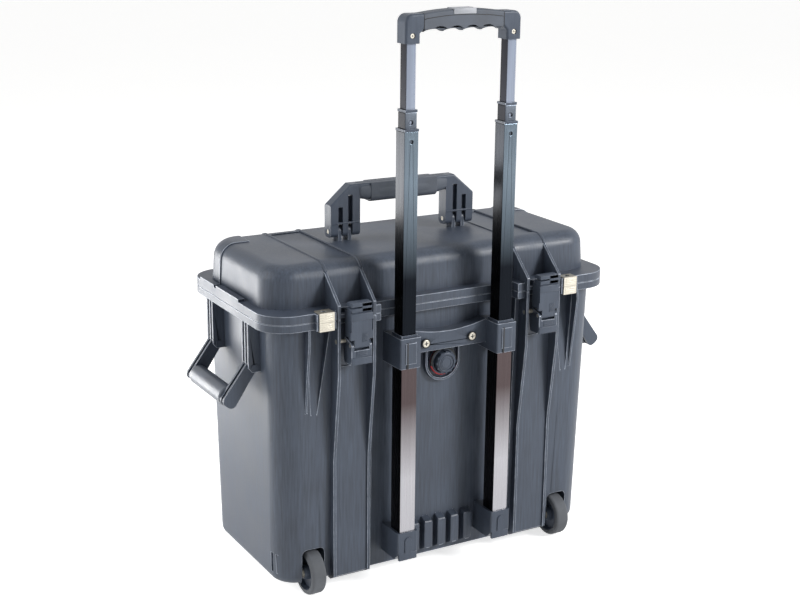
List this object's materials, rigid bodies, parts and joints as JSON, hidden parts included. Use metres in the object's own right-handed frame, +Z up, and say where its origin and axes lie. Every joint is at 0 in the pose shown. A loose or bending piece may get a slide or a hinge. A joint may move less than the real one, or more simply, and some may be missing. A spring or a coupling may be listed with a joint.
{
  "type": "rolling protective hard case",
  "caption": "Upright ribbed hard case with a hinged lid, over-centre latches, folding handles, a telescopic trolley handle, wheels and a pressure valve.",
  "frame": {"origin": "on the floor under the middle of the case", "axes": "+X along the long side, the latches and trolley face -Y, the hinges are at +Y, +Z is up"},
  "size_m": [0.5656, 0.296, 0.7262],
  "materials": {
    "shell": "fine moulded texture",
    "handle": "fine moulded texture",
    "grip": "matte over-moulded rubber",
    "latch": "fine moulded texture",
    "steel": "brushed",
    "tube_outer": "anodised, silver",
    "tube_lower": "anodised, grey",
    "tube_middle": "anodised, warm grey",
    "tube_upper": "anodised, dark grey",
    "bracket": "fine moulded texture",
    "tyre": "matte",
    "hub": "plain",
    "seal": "plain",
    "gasket": "plain",
    "button": "plain",
    "valve": "plain"
  },
  "bodies": {
    "base": {"base_shell": "shell", "hinge_pins": "steel", "latch_pins": "steel", "base_padlock_plates": "steel", "side_handle_pins": "steel", "valve_body": "valve", "valve_nut": "valve", "valve_seal": "seal", "wheel_axles": "steel", "rear_feet": "gasket", "outer_tube_left": "tube_outer", "outer_tube_right": "tube_outer", "outer_tube_caps": "bracket", "bottom_bracket_left": "bracket", "bottom_bracket_right": "bracket", "upper_bracket": "bracket", "bracket_screws": "steel"},
    "lid": {"lid_shell": "shell", "lid_gasket": "gasket", "lid_padlock_plates": "steel", "top_handle_pins": "steel"},
    "top_handle": {"top_handle_frame": "handle", "top_handle_grip": "grip"},
    "side_handle_left": {"side_handle_left": "handle", "side_grip_left": "grip"},
    "side_handle_right": {"side_handle_right": "handle", "side_grip_right": "grip"},
    "latch_lever_left": {"latch_lever_left": "latch", "latch_link_pin_left": "steel"},
    "latch_lever_right": {"latch_lever_right": "latch", "latch_link_pin_right": "steel"},
    "latch_hook_left": {"latch_hook_left": "latch"},
    "latch_hook_right": {"latch_hook_right": "latch"},
    "trolley_lower": {"lower_tube_left": "tube_lower", "lower_tube_right": "tube_lower", "lower_tube_caps": "bracket", "lower_tube_shoes": "bracket"},
    "trolley_middle": {"middle_tube_left": "tube_middle", "middle_tube_right": "tube_middle", "middle_tube_caps": "bracket", "middle_tube_shoes": "bracket"},
    "trolley_upper": {"upper_tube_left": "tube_upper", "upper_tube_right": "tube_upper", "upper_tube_shoes": "bracket", "grip_elbow_left": "handle", "grip_elbow_right": "handle", "grip_center": "grip", "grip_screws": "steel", "button_spring": "steel"},
    "release_button": {"release_button": "button"},
    "wheel_left": {"wheel_tyre_left": "tyre", "wheel_hub_left": "hub", "wheel_bush_left": "steel"},
    "wheel_right": {"wheel_tyre_right": "tyre", "wheel_hub_right": "hub", "wheel_bush_right": "steel"},
    "valve_knob": {"valve_knob": "valve"}
  },
  "joints": [
    {"name": "lid_hinge", "type": "hinge", "parent": "base", "child": "lid", "pos_m": [0, 0.14, 0.36415], "axis": [-1, 0, 0], "range_deg": [0, 100]},
    {"name": "top_handle_fold", "type": "hinge", "parent": "lid", "child": "top_handle", "pos_m": [0, 0.006, 0.438], "axis": [1, 0, 0], "range_deg": [-85, 85]},
    {"name": "side_handle_fold_left", "type": "hinge", "parent": "base", "child": "side_handle_left", "pos_m": [-0.242, 0, 0.298], "axis": [0, 1, 0], "range_deg": [-30, 53]},
    {"name": "latch_left", "type": "hinge", "parent": "base", "child": "latch_lever_left", "pos_m": [-0.136, -0.125, 0.336], "axis": [-1, 0, 0], "range_deg": [0, 70]},
    {"name": "latch_hook_left", "type": "hinge", "parent": "latch_lever_left", "child": "latch_hook_left", "pos_m": [-0.136, -0.1385, 0.333], "axis": [-1, 0, 0], "range_deg": [-88, 0]},
    {"name": "wheel_spin_left", "type": "hinge", "parent": "base", "child": "wheel_left", "pos_m": [-0.1857, -0.099, 0.029], "axis": [1, 0, 0], "continuous": true},
    {"name": "side_handle_fold_right", "type": "hinge", "parent": "base", "child": "side_handle_right", "pos_m": [0.242, 0, 0.298], "axis": [0, -1, 0], "range_deg": [-30, 53]},
    {"name": "latch_right", "type": "hinge", "parent": "base", "child": "latch_lever_right", "pos_m": [0.136, -0.125, 0.336], "axis": [-1, 0, 0], "range_deg": [0, 70]},
    {"name": "latch_hook_right", "type": "hinge", "parent": "latch_lever_right", "child": "latch_hook_right", "pos_m": [0.136, -0.1385, 0.333], "axis": [-1, 0, 0], "range_deg": [-88, 0]},
    {"name": "wheel_spin_right", "type": "hinge", "parent": "base", "child": "wheel_right", "pos_m": [0.1857, -0.099, 0.029], "axis": [1, 0, 0], "continuous": true},
    {"name": "trolley_lower_slide", "type": "slide", "parent": "base", "child": "trolley_lower", "axis": [0, 0, 1], "range_m": [-0.245, 0]},
    {"name": "trolley_middle_slide", "type": "slide", "parent": "trolley_lower", "child": "trolley_middle", "axis": [0, 0, 1], "range_m": [-0.016, 0.22]},
    {"name": "trolley_upper_slide", "type": "slide", "parent": "trolley_middle", "child": "trolley_upper", "axis": [0, 0, 1], "range_m": [-0.074, 0.155]},
    {"name": "release_button_press", "type": "slide", "parent": "trolley_upper", "child": "release_button", "axis": [0, 0, -1], "range_m": [0, 0.003], "stiffness_N_per_m": 400, "springref_m": -0.002, "deforming": ["button_spring"]},
    {"name": "valve_knob_turn", "type": "hinge", "parent": "base", "child": "valve_knob", "pos_m": [0, -0.11, 0.282], "axis": [0, -1, 0], "range_deg": [0, 270]}
  ],
  "couplings": [
    {"joint": "latch_hook_left", "follows": "latch_left", "ratio": -1.25},
    {"joint": "latch_hook_right", "follows": "latch_right", "ratio": -1.25}
  ]
}
